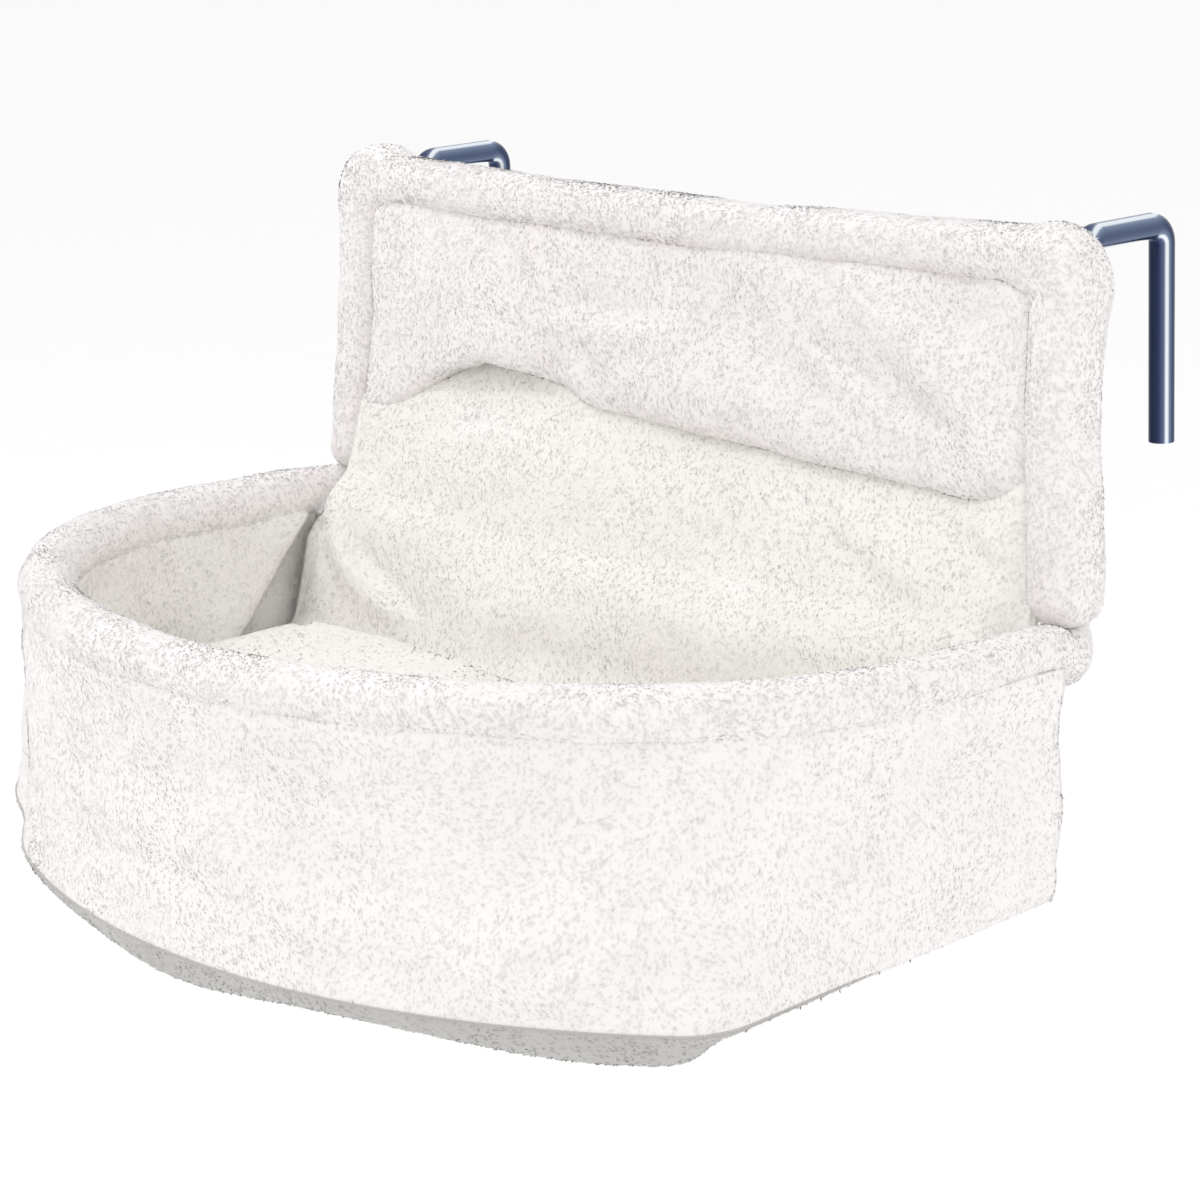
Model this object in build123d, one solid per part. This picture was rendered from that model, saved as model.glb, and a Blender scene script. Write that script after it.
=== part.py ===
from build123d import *
import math
import os

# Radiator cat bed: a plush basket on a round wire rim, hung from a padded back panel
# whose two steel legs end in hooks that drop behind a radiator.
# Millimetres. +X runs along the panel, +Y towards the radiator, +Z up.
# The origin is midway between the undersides of the two hook arms.

# Steel tube and hooks
tube_diameter = 10.0
tube_wall = 1.0
hook_spacing = 394.0
hook_slot = 34.4
hook_drop = 84.0
tube_bend_radius = 7.0
joint_ahead = 14.0
spigot_length = 20.0
spigot_wall = 1.0
spigot_root = 2.0
spigot_root_bite = 0.3
tube_slip = 0.05
bar_diameter = 8.0
bar_above_foot = 26.0

# Padded back panel
lean_deg = 6.0
border_outset = 11.0
border_radius = 14.0
border_leg_gap = 1.0
border_below_arm = 8.0
border_strap_gap = 0.5
panel_cloth = 2.5
rear_cloth_thickness = 1.5
rear_cloth_behind = 7.0
rear_cloth_top = 13.0
rear_cloth_edge = 1.0
wadding_ahead = 9.3
panel_foot_past_pivot = 5.3
side_cloth_above_pivot = 2.7
front_cloth_top = 21.0
front_cloth_past_pivot = 11.3
front_top_ahead = 25.0
front_belly_ahead = 29.5
front_belly_below = 52.0
fold_lip_ahead = 32.0
fold_crease_ahead = 26.5
fold_step = 7.0
front_slope_ahead = 34.0
front_slope_drop = 26.0
ridge_behind_pivot = 1.2
fold_below_left = 103.0
fold_below_left_mid = 80.0
fold_below_middle = 83.0
fold_below_right_mid = 86.0
fold_below_right = 96.0
flap_top_below = 98.0
tape_margin = 2.0
tape_thickness = 0.8
tape_height = 10.0
tape_inset = 27.0
flange_inset = 20.0

# Fold pivots of the basket
pivot_ahead = 85.0
pivot_below = 140.7
bolt_diameter = 5.0
bolt_head_diameter = 9.0
bolt_head_height = 3.5
bolt_tail = 1.0
pivot_slip = 0.05
side_play = 0.3
washer_diameter = 10.0
washer_thickness = 1.0
nut_across_flats = 8.0
nut_thickness = 4.0
strap_thickness = 3.0
strap_height = 12.0
strap_bend_radius = 8.0
strap_past_sleeve = 2.0
strap_root = 3.0
stop_gap = 0.35
stop_thickness = 1.8
stop_near = 1.0
stop_far = 8.0
leg_past_strap = 2.0

# Rim of the basket, measured from the pivot line
rim_outset = 29.0
rim_reach = 223.8
rim_run_out = 17.0
rim_min_straight = 50.0
rim_curve_share = 0.91
rim_side_share = 0.834
rim_rise_deg = 1.5
rim_flat_thickness = 3.0
rim_flat_height = 13.0
rim_flat_length = 9.0
rim_flat_shift = 3.0
sleeve_radius = 12.0
sleeve_slack = 0.6
corner_sleeve_back = 17.0
corner_sleeve_front = 39.7

# Basket body
wall_overhang = 6.5
wall_back = 8.0
cloth = 2.0
wadding_thickness = 6.0
seam_outset = 2.0
seam_past_rim = 7.0
seam_front_depth = 98.0
seam_corner_radius = 27.0
seam_min_corner = 6.0
seam_below_rim = 91.3
seam_pitch_deg = 4.61
seam_line_share = 0.38
side_share = 0.60
corner_share = 0.80
front_share = 0.18
bottom_cloth_thickness = 3.0
sag_depth = 27.0
sag_reach_share = 0.319
sag_steps = ((0.0, 0.0), (0.37, 0.11), (0.70, 0.37), (0.93, 0.73), (1.0, 1.0))
cushion_height = 44.0
cushion_margin = 12.5
cushion_behind = 3.0
cushion_roll = 24.0
cushion_steps = ((0.0, 0.12), (0.42, 0.0), (0.78, 0.2), (0.94, 0.75), (1.0, 2.2))
lining_ridge = 1.0
lining_foot_ahead = 19.0
lining_foot_below = 64.0
hinge_cloth_thickness = 1.8
hinge_cloth_inset = 20.0
straight_ahead_deg = -90.0

# Shared clearance and overrun
gap = 0.3
overrun = 2.0

tube_radius = tube_diameter / 2
bore_radius = tube_radius - tube_wall
bolt_radius = bolt_diameter / 2
leg_x = hook_spacing / 2
border_x = leg_x + border_outset
half_slot = hook_slot / 2
hook_y = half_slot + tube_radius
arm_z = tube_radius
lean = math.radians(lean_deg)
lean_rate = math.tan(lean)
border_ahead = border_radius + tube_radius + border_leg_gap
strap_top = pivot_below - strap_height / 2
border_room = arm_z + border_ahead * math.sin(lean) + strap_top - border_radius - border_strap_gap
border_length = border_room / math.cos(lean) - border_below_arm
panel_foot_below = pivot_below + panel_foot_past_pivot
side_cloth_foot_below = pivot_below - side_cloth_above_pivot
front_cloth_foot_below = pivot_below + front_cloth_past_pivot
front_foot_room = pivot_ahead - ridge_behind_pivot - hook_y - front_cloth_foot_below * math.sin(lean)
front_foot_ahead = front_foot_room / math.cos(lean)
bar_below_arm = panel_foot_below - bar_above_foot
flap_overlap = tape_height + 2 * tape_margin
panel_place = Pos(0, -hook_y, arm_z) * Rot(-lean_deg, 0, 0)
rim_place = Pos(0, -pivot_ahead, -pivot_below) * Rot(-rim_rise_deg, 0, 0)
seam_place = Pos(0, wall_back, -seam_below_rim) * Rot(seam_pitch_deg, 0, 0)
rim_half_width = leg_x + rim_outset
rim_straight = max(rim_min_straight, rim_reach - rim_curve_share * rim_half_width)
rim_side_radius = rim_side_share * (rim_reach - rim_straight)
wall_below_rim = sleeve_radius + gap
seam_half_width = rim_half_width + seam_outset
seam_reach = rim_reach + seam_past_rim
seam_side_end = seam_reach - seam_front_depth
sag_reach = sag_reach_share * seam_reach
cushion_back = lining_foot_ahead + cushion_behind
flat_x = rim_half_width + rim_flat_shift
flat_inner_x = flat_x - rim_flat_thickness / 2
flat_outer_x = flat_x + rim_flat_thickness / 2
strap_outer_x = flat_inner_x - washer_thickness - 2 * side_play
strap_inner_x = strap_outer_x - strap_thickness
strap_x = (strap_outer_x + strap_inner_x) / 2
strap_straight = corner_sleeve_back + strap_past_sleeve
stop_below = rim_flat_height / 2 + stop_gap
sleeve_bore = tube_radius + sleeve_slack
corner_sleeve_bore = math.hypot(flat_outer_x - rim_half_width, stop_below + stop_thickness) + gap


def both_sides(shape):
    """The piece and its mirror image, as two separate solids."""
    return Compound(children=[shape, mirror(shape, about=Plane.YZ)])


def leg_y(z):
    """The leg's centre line at height z."""
    return -hook_y + (z - arm_z) * lean_rate


def bar_x(radius, low, high, y, z):
    """A round bar along X."""
    return Pos((low + high) / 2, y, z) * Rot(0, 90, 0) * Cylinder(radius, high - low)


def bar_y(radius, low, high, x, z):
    """A round bar along Y."""
    return Pos(x, (low + high) / 2, z) * Rot(90, 0, 0) * Cylinder(radius, high - low)


def block(x, y, z):
    """A box between a low and a high value on each axis."""
    size = Box(x[1] - x[0], y[1] - y[0], z[1] - z[0])
    return Pos((x[0] + x[1]) / 2, (y[0] + y[1]) / 2, (z[0] + z[1]) / 2) * size


def pipe(path, outer, inner):
    """A hollow tube swept along a path."""
    start = Plane(origin=path @ 0, z_dir=path % 0)
    return sweep(start * (Circle(outer) - Circle(inner)), path=path)


# Steel frame

def leg():
    """The leg tube, bent back at the top, with a thinner spigot for the hook."""
    foot_z = -pivot_below - strap_height / 2 - leg_past_strap
    path = FilletPolyline(
        (leg_x, leg_y(foot_z), foot_z),
        (leg_x, -hook_y, arm_z),
        (leg_x, -joint_ahead, arm_z),
        radius=tube_bend_radius,
    )
    tube = pipe(path, tube_radius, bore_radius)
    spigot = bore_radius - tube_slip
    root = bar_y(bore_radius + spigot_root_bite, -joint_ahead - spigot_root, -joint_ahead, leg_x, arm_z)
    plug = bar_y(spigot, -joint_ahead, -joint_ahead + spigot_length, leg_x, arm_z)
    bore = bar_y(
        spigot - spigot_wall,
        -joint_ahead - spigot_root,
        -joint_ahead + spigot_length,
        leg_x,
        arm_z,
    )
    return tube + root + plug - bore


def hook():
    """The hook: a level arm over the radiator and a drop behind it."""
    path = FilletPolyline(
        (leg_x, -joint_ahead, arm_z),
        (leg_x, hook_y, arm_z),
        (leg_x, hook_y, arm_z - hook_drop),
        radius=tube_bend_radius,
    )
    return pipe(path, tube_radius, bore_radius)


def leg_space():
    """The round space that one leg fills."""
    reach = 2 * pivot_below
    return panel_place * Pos(leg_x, 0, -reach / 2) * Cylinder(tube_radius, reach)


def cross_bar():
    """The bar brazed between the legs low down inside the panel."""
    bar = panel_place * bar_x(bar_diameter / 2, -leg_x, leg_x, 0, -bar_below_arm)
    return bar - leg_space() - mirror(leg_space(), about=Plane.YZ)


def pivot_strap():
    """The strap brazed to the leg's foot: it carries the pivot and the stop lip."""
    bend_y = -pivot_ahead + strap_straight
    path = FilletPolyline(
        (leg_x + strap_root, leg_y(-pivot_below), -pivot_below),
        (strap_x, bend_y, -pivot_below),
        (strap_x, -pivot_ahead, -pivot_below),
        radius=strap_bend_radius,
    )
    start = Plane(origin=path @ 0, x_dir=(0, 0, 1), z_dir=path % 0)
    strap = sweep(start * Rectangle(strap_height, strap_thickness), path=path)
    eye = bar_x(strap_height / 2, strap_inner_x, strap_outer_x, -pivot_ahead, -pivot_below)
    stop_top = -pivot_below - stop_below
    stop_y = (-pivot_ahead - stop_far, -pivot_ahead - stop_near)
    lip = block((strap_inner_x, flat_outer_x), stop_y, (stop_top - stop_thickness, stop_top))
    web = block((strap_inner_x, strap_outer_x), stop_y, (stop_top - stop_thickness, -pivot_below))
    hole = bar_x(
        bolt_radius + pivot_slip,
        strap_inner_x - overrun,
        strap_outer_x + overrun,
        -pivot_ahead,
        -pivot_below,
    )
    return strap + eye + lip + web - leg_space() - hole


def pivot_bolt():
    """The bolt that the rim turns on, with its head outside."""
    head_x = flat_outer_x + side_play
    tail_x = strap_inner_x - side_play - nut_thickness - bolt_tail
    shank = bar_x(bolt_radius, tail_x, head_x, -pivot_ahead, -pivot_below)
    head = bar_x(
        bolt_head_diameter / 2, head_x, head_x + bolt_head_height, -pivot_ahead, -pivot_below
    )
    return shank + head


def pivot_washer():
    """The washer between the strap and the rim's flat end."""
    low = strap_outer_x + side_play
    disc = bar_x(washer_diameter / 2, low, low + washer_thickness, -pivot_ahead, -pivot_below)
    hole = bar_x(
        bolt_radius + pivot_slip,
        low - overrun,
        low + washer_thickness + overrun,
        -pivot_ahead,
        -pivot_below,
    )
    return disc - hole


def lock_nut():
    """The hexagonal lock nut on the bolt's inner end."""
    high = strap_inner_x - side_play
    hexagon = RegularPolygon(nut_across_flats / 2, 6, major_radius=False)
    body = extrude(Plane.YZ * hexagon, nut_thickness)
    hole = bar_x(bolt_radius + pivot_slip, -overrun, nut_thickness + overrun, 0, 0)
    return Pos(high - nut_thickness, -pivot_ahead, -pivot_below) * (body - hole)


# Padded back panel, in the leaning frame of the legs

def top_roll(extra):
    """The stuffed roll along the panel's top, or its clearance space."""
    radius = border_radius + extra
    bar = bar_x(radius, -border_x, border_x, -border_ahead, -border_below_arm)
    ends = both_sides(Pos(border_x, -border_ahead, -border_below_arm) * Sphere(radius))
    return bar + ends.children[0] + ends.children[1]


def side_roll(extra):
    """The stuffed roll down the panel's right side, or its clearance space."""
    radius = border_radius + extra
    centre_z = -border_below_arm - border_length / 2
    bar = Pos(border_x, -border_ahead, centre_z) * Cylinder(radius, border_length)
    tip = Pos(border_x, -border_ahead, -border_below_arm - border_length) * Sphere(radius)
    return bar + tip


def side_border():
    """The side roll, cut where it meets the top roll."""
    return panel_place * (side_roll(0) - top_roll(gap))


def front_profile(fold_below):
    """The front cloth's face from top to bottom: belly, fold and lower slope."""
    return (
        (-front_top_ahead, -front_cloth_top),
        (-front_belly_ahead, -front_belly_below),
        (-fold_lip_ahead, -fold_below),
        (-fold_crease_ahead, -fold_below - fold_step),
        (-front_slope_ahead, -fold_below - fold_step - front_slope_drop),
        (-front_foot_ahead, -front_cloth_foot_below),
    )


def fold_stations(half_width):
    """Where the fold runs, from the left edge to the right edge."""
    return (
        (-half_width, fold_below_left),
        (-half_width / 2, fold_below_left_mid),
        (0, fold_below_middle),
        (half_width / 2, fold_below_right_mid),
        (half_width, fold_below_right),
    )


def profile_loft(closing):
    """A loft across the panel through one closed profile at each station."""
    faces = []
    for x, fold_below in fold_stations(border_x - border_radius):
        outline = closing(front_profile(fold_below))
        points = [(x, y, z) for y, z in outline]
        faces.append(make_face(Polyline(*points, close=True)))
    return loft(faces, ruled=True)


def front_space():
    """Everything ahead of the front cloth's back face, with clearance."""
    def closing(front):
        far = -2 * front_foot_ahead
        inner = [(y + panel_cloth + gap, z) for y, z in front]
        return inner + [(far, inner[-1][1]), (far, inner[0][1])]
    return profile_loft(closing)


def rolls_space():
    """The space of the three rolls with clearance."""
    side = side_roll(gap)
    return top_roll(gap) + side + mirror(side, about=Plane.YZ)


def front_cloth():
    """The panel's front cloth with its broad fold and the slope to the ridge."""
    def closing(front):
        return list(front) + [(y + panel_cloth, z) for y, z in reversed(front)]
    return panel_place * (profile_loft(closing) - rolls_space())


def panel_wadding():
    """The filling between the panel's front and rear cloths."""
    def closing(front):
        inner = [(y + panel_cloth + gap, z) for y, z in front]
        return inner + [(-wadding_ahead, inner[-1][1]), (-wadding_ahead, inner[0][1])]
    half = border_x
    foot_z = -panel_foot_below + rear_cloth_thickness + gap
    below = block((-half, half), (-2 * front_foot_ahead, 0), (-2 * panel_foot_below, foot_z))
    return panel_place * (profile_loft(closing) - rolls_space() - below)


def rear_cloth():
    """The cloth behind the legs, with side hems and a top hem."""
    half = border_x - rear_cloth_edge
    back = (rear_cloth_behind, rear_cloth_behind + rear_cloth_thickness)
    hem_y = (-border_ahead + border_radius + gap, back[1])
    foot = -flap_top_below - flap_overlap
    sheet = block((-half, half), back, (foot, -rear_cloth_top))
    hem = block((half - rear_cloth_thickness, half), hem_y, (-side_cloth_foot_below, -rear_cloth_top))
    top = block(
        (-border_x + flange_inset, border_x - flange_inset),
        hem_y,
        (-rear_cloth_top - rear_cloth_thickness, -rear_cloth_top),
    )
    cloth_shape = sheet + hem + mirror(hem, about=Plane.YZ) + top
    return panel_place * (cloth_shape - top_roll(gap))


def tape(layer):
    """One strip of the touch fastener: layer 0 on the cloth, 1 on the flap."""
    low = rear_cloth_behind + rear_cloth_thickness + layer * tape_thickness
    top = -flap_top_below - tape_margin
    half = border_x - tape_inset
    return panel_place * block((-half, half), (low, low + tape_thickness), (top - tape_height, top))


def rear_flap():
    """The flap that closes the cover at the back, with its bottom hem."""
    low = rear_cloth_behind + rear_cloth_thickness + 2 * tape_thickness
    half = border_x - rear_cloth_edge
    sheet = block(
        (-half, half), (low, low + rear_cloth_thickness), (-panel_foot_below, -flap_top_below)
    )
    hem_half = border_x - flange_inset
    hem = block(
        (-hem_half, hem_half),
        (-front_foot_ahead, low),
        (-panel_foot_below, -panel_foot_below + rear_cloth_thickness),
    )
    return panel_place * (sheet + (hem - front_space()))


# Outlines of the basket, in plan, from the pivot line forwards

def arc_between(centre, radius, start, end):
    """A piece of a circle between two angles in degrees."""
    def at(angle):
        turn = math.radians(angle)
        return (centre[0] + radius * math.cos(turn), centre[1] + radius * math.sin(turn))
    return ThreePointArc(at(start), at((start + end) / 2), at(end))


def side_and_front(half, side_end, front, corner):
    """The two tangent circles of a D-shaped outline and the angle where they meet."""
    centre_x = half - corner
    depth = side_end - front
    front_radius = (centre_x ** 2 + depth ** 2 - corner ** 2) / (2 * (depth - corner))
    front_y = front + front_radius
    meet = math.degrees(math.atan2(side_end - front_y, centre_x))
    return (centre_x, side_end), (0, front_y), front_radius, meet


def mirrored_wire(edges):
    """The right half's edges, their mirror images and the back line as one wire."""
    left = [mirror(edge, about=Plane.YZ) for edge in edges]
    back = edges[0] @ 0
    closing = Line((-back.X, back.Y), (back.X, back.Y))
    return Wire([edge.edge() for edge in edges + left + [closing]])


def rim_line():
    """The rim's centre line from one pivot end to the other."""
    side, front, radius, meet = side_and_front(
        rim_half_width, -rim_straight, -rim_reach, rim_side_radius
    )
    start = Line((rim_half_width, -rim_run_out), (rim_half_width, -rim_straight))
    right = arc_between(side, rim_side_radius, 0, meet)
    middle = arc_between(front, radius, meet, 2 * straight_ahead_deg - meet)
    left = mirror(right, about=Plane.YZ)
    end = mirror(start, about=Plane.YZ)
    return Wire([start.edge(), right.edge(), middle.edge(), left.edge(), end.edge()])


def top_outline(inset, back):
    """The wall's plan where it meets the rim, drawn in by inset."""
    half = rim_half_width + wall_overhang - inset
    radius = rim_side_radius + wall_overhang - inset
    front = -rim_reach - wall_overhang + inset
    side, centre, front_radius, meet = side_and_front(half, -rim_straight, front, radius)
    stops = (0, side_share * meet, corner_share * meet, meet)
    edges = [Line((half, back), (half, -rim_straight))]
    for start, end in zip(stops[:-1], stops[1:]):
        edges.append(arc_between(side, radius, start, end))
    edges.append(arc_between(centre, front_radius, meet, straight_ahead_deg))
    return mirrored_wire(edges)


def seam_outline(inset, back):
    """The bottom seam's plan, drawn in by inset, from the seam's back edge."""
    corner = max(seam_corner_radius - inset, seam_min_corner)
    half = seam_half_width - inset
    front = -seam_reach - wall_back + inset
    deeper = max(0, inset - seam_corner_radius + seam_min_corner)
    side_end = min(-seam_side_end - wall_back + deeper, back - seam_min_corner)
    side, centre, front_radius, meet = side_and_front(half, side_end, front, corner)
    split_y = back + seam_line_share * (side_end - back)
    split_angle = meet + front_share * (straight_ahead_deg - meet)
    edges = [
        Line((half, back), (half, split_y)),
        Line((half, split_y), (half, side_end)),
        arc_between(side, corner, 0, meet),
        arc_between(centre, front_radius, meet, split_angle),
        arc_between(centre, front_radius, split_angle, straight_ahead_deg),
    ]
    return mirrored_wire(edges)


def wall_space(inset, past=0):
    """The space inside the wall's face at a given inset, from rim to bottom seam."""
    top = Pos(0, 0, -wall_below_rim) * Face(top_outline(inset, wall_back + past))
    low = seam_place * Face(seam_outline(inset, past))
    return loft([top, low], ruled=True)


def wall_layer(outer, inner):
    """One layer of the wall between two insets, open at the back."""
    return rim_place * (wall_space(outer) - wall_space(inner, overrun))


# Rim

def flat_end():
    """The rim's flattened end with the pivot hole, and its run-out into round tube."""
    eye = bar_x(rim_flat_height / 2, flat_inner_x, flat_outer_x, 0, 0)
    half_height = rim_flat_height / 2
    bar = block((flat_inner_x, flat_outer_x), (-rim_flat_length, 0), (-half_height, half_height))
    flat_face = Plane(origin=(flat_x, -rim_flat_length, 0), x_dir=(1, 0, 0), z_dir=(0, -1, 0))
    round_face = Plane(origin=(rim_half_width, -rim_run_out, 0), x_dir=(1, 0, 0), z_dir=(0, -1, 0))
    run_out = loft([flat_face * Rectangle(rim_flat_thickness, rim_flat_height),
                    round_face * Circle(tube_radius)])
    hole = bar_x(bolt_radius + pivot_slip, flat_inner_x - overrun, flat_outer_x + overrun, 0, 0)
    return eye + bar + run_out - hole


def rim_tube():
    """The round rim with its two flattened pivot ends."""
    end = flat_end()
    ring = pipe(rim_line(), tube_radius, bore_radius)
    return rim_place * (ring + end + mirror(end, about=Plane.YZ))


def rim_sleeve():
    """The stuffed plush sleeve round the rim, between the two corner sleeves."""
    ring = pipe(rim_line(), sleeve_radius, sleeve_bore)
    reach = rim_half_width + rim_reach
    front_half = block(
        (-reach, reach), (-reach, -corner_sleeve_front - gap), (-reach, reach)
    )
    return rim_place * (ring & front_half)


def corner_sleeve():
    """The loose end of the sleeve, which hides the pivot and bends with it."""
    low = -corner_sleeve_front
    outer = bar_y(sleeve_radius, low, corner_sleeve_back, rim_half_width, 0)
    inner = bar_y(
        corner_sleeve_bore, low - overrun, corner_sleeve_back + overrun, rim_half_width, 0
    )
    return rim_place * (outer - inner)


# Basket

def back_outer_cloth():
    """The plain cloth across the basket's back."""
    top_half = rim_half_width + wall_overhang
    outline = Polyline(
        (-top_half, -wall_below_rim),
        (top_half, -wall_below_rim),
        (seam_half_width, -seam_below_rim),
        (-seam_half_width, -seam_below_rim),
        close=True,
    )
    return rim_place * Pos(0, wall_back, 0) * extrude(Plane.XZ * make_face(outline), -cloth)


def back_sheet(start, end):
    """A slab across the basket's back whose face slopes from the ridge to the floor."""
    half = rim_half_width
    foot = (-lining_foot_ahead, -lining_foot_below)
    ridge = (lining_ridge, -wall_below_rim)
    outline = Polyline(
        (ridge[0] + start, ridge[1]),
        (foot[0] + start, foot[1]),
        (foot[0] + start, -seam_below_rim + gap),
        (end, -seam_below_rim + gap),
        (end, ridge[1]),
        close=True,
    )
    slab = extrude(Plane.YZ * make_face(outline), half, both=True)
    return slab & wall_space(2 * cloth + wadding_thickness + gap, overrun)


def back_lining():
    """The lining that slopes from the ridge to the floor."""
    far = wall_back - gap
    return rim_place * (back_sheet(0, far) - back_sheet(cloth, far + overrun))


def back_wadding():
    """The filling behind the sloping back lining."""
    return rim_place * back_sheet(cloth + gap, wall_back - gap)


def sag_shape(inset, lift, top, back):
    """The rounded underside as a solid: nested seam outlines, each a little lower."""
    faces = [Pos(0, 0, top) * Face(seam_outline(inset, back))]
    for depth_share, inset_share in sag_steps[1:]:
        step_inset = inset + inset_share * sag_reach
        level = lift - depth_share * sag_depth
        step_back = back - inset_share * sag_reach
        faces.append(Pos(0, 0, level) * Face(seam_outline(step_inset, step_back)))
    return loft(faces, ruled=True)


def bottom_cloth():
    """The bottom cloth, which sags under the floor cushion."""
    outer = sag_shape(0, 0, 0, cloth)
    inner = sag_shape(bottom_cloth_thickness, bottom_cloth_thickness, overrun, -cloth)
    return rim_place * seam_place * Pos(0, 0, -gap) * (outer - inner)


def floor_cushion():
    """The crowned floor cushion, drawn in at its edges, resting in the bottom cloth."""
    back = -cushion_back - wall_back
    lift = bottom_cloth_thickness + gap
    margin = cushion_margin + bottom_cloth_thickness
    lower = seam_place * sag_shape(margin, lift, 0, back)
    faces = []
    for height_share, inset_share in cushion_steps:
        inset = margin + inset_share * cushion_roll
        face_back = back - inset_share * cushion_roll
        faces.append(Pos(0, 0, height_share * cushion_height) * Face(seam_outline(inset, face_back)))
    upper = seam_place * loft(faces, ruled=True)
    upper = upper & wall_space(cushion_margin, overrun)
    return rim_place * (lower + upper)


def hinge_cloth():
    """The strip of cloth along the ridge, which bends as the basket folds."""
    top_y = -pivot_ahead + ridge_behind_pivot
    top_z = arm_z + front_foot_ahead * math.sin(lean) - front_cloth_foot_below * math.cos(lean)
    half = border_x - hinge_cloth_inset
    low = -pivot_below - wall_below_rim + gap
    return block((-half, half), (top_y - hinge_cloth_thickness / 2, top_y + hinge_cloth_thickness / 2),
                 (low, top_z - gap))


nodes = {
    "right_leg": leg(),
    "right_hook": hook(),
    "right_pivot_strap": pivot_strap(),
    "right_border": side_border(),
    "right_corner_sleeve": corner_sleeve(),
}
for name in list(nodes):
    nodes[name.replace("right", "left")] = mirror(nodes[name], about=Plane.YZ)
nodes["cross_bar"] = cross_bar()
nodes["pivot_bolts"] = both_sides(pivot_bolt())
nodes["pivot_washers"] = both_sides(pivot_washer())
nodes["lock_nuts"] = both_sides(lock_nut())
nodes["top_border"] = panel_place * top_roll(0)
nodes["panel_front_cloth"] = front_cloth()
nodes["panel_wadding"] = panel_wadding()
nodes["panel_rear_cloth"] = rear_cloth()
nodes["rear_flap"] = rear_flap()
nodes["closure_loop_tape"] = tape(0)
nodes["closure_hook_tape"] = tape(1)
nodes["rim_tube"] = rim_tube()
nodes["rim_sleeve"] = rim_sleeve()
nodes["outer_wall"] = wall_layer(0, cloth)
nodes["wall_wadding"] = wall_layer(cloth + gap, cloth + wadding_thickness - gap)
nodes["wall_lining"] = wall_layer(cloth + wadding_thickness, 2 * cloth + wadding_thickness)
nodes["back_outer_cloth"] = back_outer_cloth()
nodes["back_wadding"] = back_wadding()
nodes["back_lining"] = back_lining()
nodes["bottom_cloth"] = bottom_cloth()
nodes["floor_cushion"] = floor_cushion()
nodes["hinge_cloth"] = hinge_cloth()

os.makedirs("parts", exist_ok=True)
for name, shape in nodes.items():
    export_step(shape, f"parts/{name}.step")
    print(name, round(shape.volume))
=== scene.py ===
import math

import bpy
import numpy as np
from mathutils import Matrix


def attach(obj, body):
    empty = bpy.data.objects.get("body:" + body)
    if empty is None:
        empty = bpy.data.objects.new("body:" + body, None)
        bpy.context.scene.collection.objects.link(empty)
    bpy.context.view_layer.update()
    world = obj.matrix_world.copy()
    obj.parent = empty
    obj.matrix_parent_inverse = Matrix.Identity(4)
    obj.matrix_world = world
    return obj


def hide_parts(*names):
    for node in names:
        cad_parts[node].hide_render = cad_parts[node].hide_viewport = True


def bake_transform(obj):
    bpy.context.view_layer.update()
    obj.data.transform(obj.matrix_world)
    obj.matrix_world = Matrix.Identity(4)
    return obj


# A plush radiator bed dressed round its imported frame. The shapes are worked out in
# millimetres in the frame's axes and turned into metres as each mesh is made.

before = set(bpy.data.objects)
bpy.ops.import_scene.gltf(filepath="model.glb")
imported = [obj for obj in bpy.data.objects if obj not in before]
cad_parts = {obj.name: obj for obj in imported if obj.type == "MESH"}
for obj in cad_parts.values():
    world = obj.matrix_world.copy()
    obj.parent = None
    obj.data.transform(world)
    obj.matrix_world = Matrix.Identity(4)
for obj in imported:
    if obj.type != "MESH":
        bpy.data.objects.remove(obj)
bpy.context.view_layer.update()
MM = 0.001

# The frame's own places and sizes
LEAN = math.radians(6.0)
HOOK_Y = -22.2
ARM_Z = 5.0
PIVOT = np.array([0.0, -85.0, -140.7])
RIM_HALF = 226.0
RIM_REACH = 223.8
RIM_STRAIGHT = 50.0
RIM_SIDE_R = 145.0
RIM_RISE = math.tan(math.radians(1.5))
RIM_TILT = 0.008
RIM_LEFT_DROP = 0.6
RIM_RIGHT_DROP = -2.5
RIM_DROP_RUN = 90.0
SLEEVE_R = 11.2
SEAM_HALF = 228.0
SEAM_FRONT = -320.0
SEAM_SIDE_END = -230.0
SEAM_CORNER = 27.0
SEAM_MIN_CORNER = 6.0
SEAM_BACK_Y = -77.0
SEAM_BACK_Z = -232.0
SEAM_RISE = 0.054
WALL_RUN = 770.0
BORDER_X = 208.0
BORDER_R = 14.0
BORDER_AHEAD = 19.0

# The plush and the cloths
PILE_LENGTH = 1.8
PILE_HALF_WIDTH = 0.37
PILE_LIFT = 0.4
PILE_WANDER_CELL = 24.0
PILE_WANDER = 1.3
PILE_ROOT = 0.2
FINE_CELL = 12.0
FACE_CLOTH = 4.0
WALL_CLOTH = 3.0
LINING_CLOTH = 2.4
BOTTOM_CLOTH = 3.0
PLAIN_CLOTH = 1.4
RING_POINTS = 40


# Numbers and noise

def ease(low, high, value):
    """A smooth step from 0 at low to 1 at high."""
    t = np.clip((value - low) / (high - low), 0, 1)
    return t * t * (3 - 2 * t)


def hump(value, centre, width):
    """A smooth bump of height 1 about a centre."""
    return np.exp(-(((value - centre) / width) ** 2))


def unit(v):
    return v / np.maximum(np.linalg.norm(v, axis=-1, keepdims=True), 1e-9)


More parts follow.
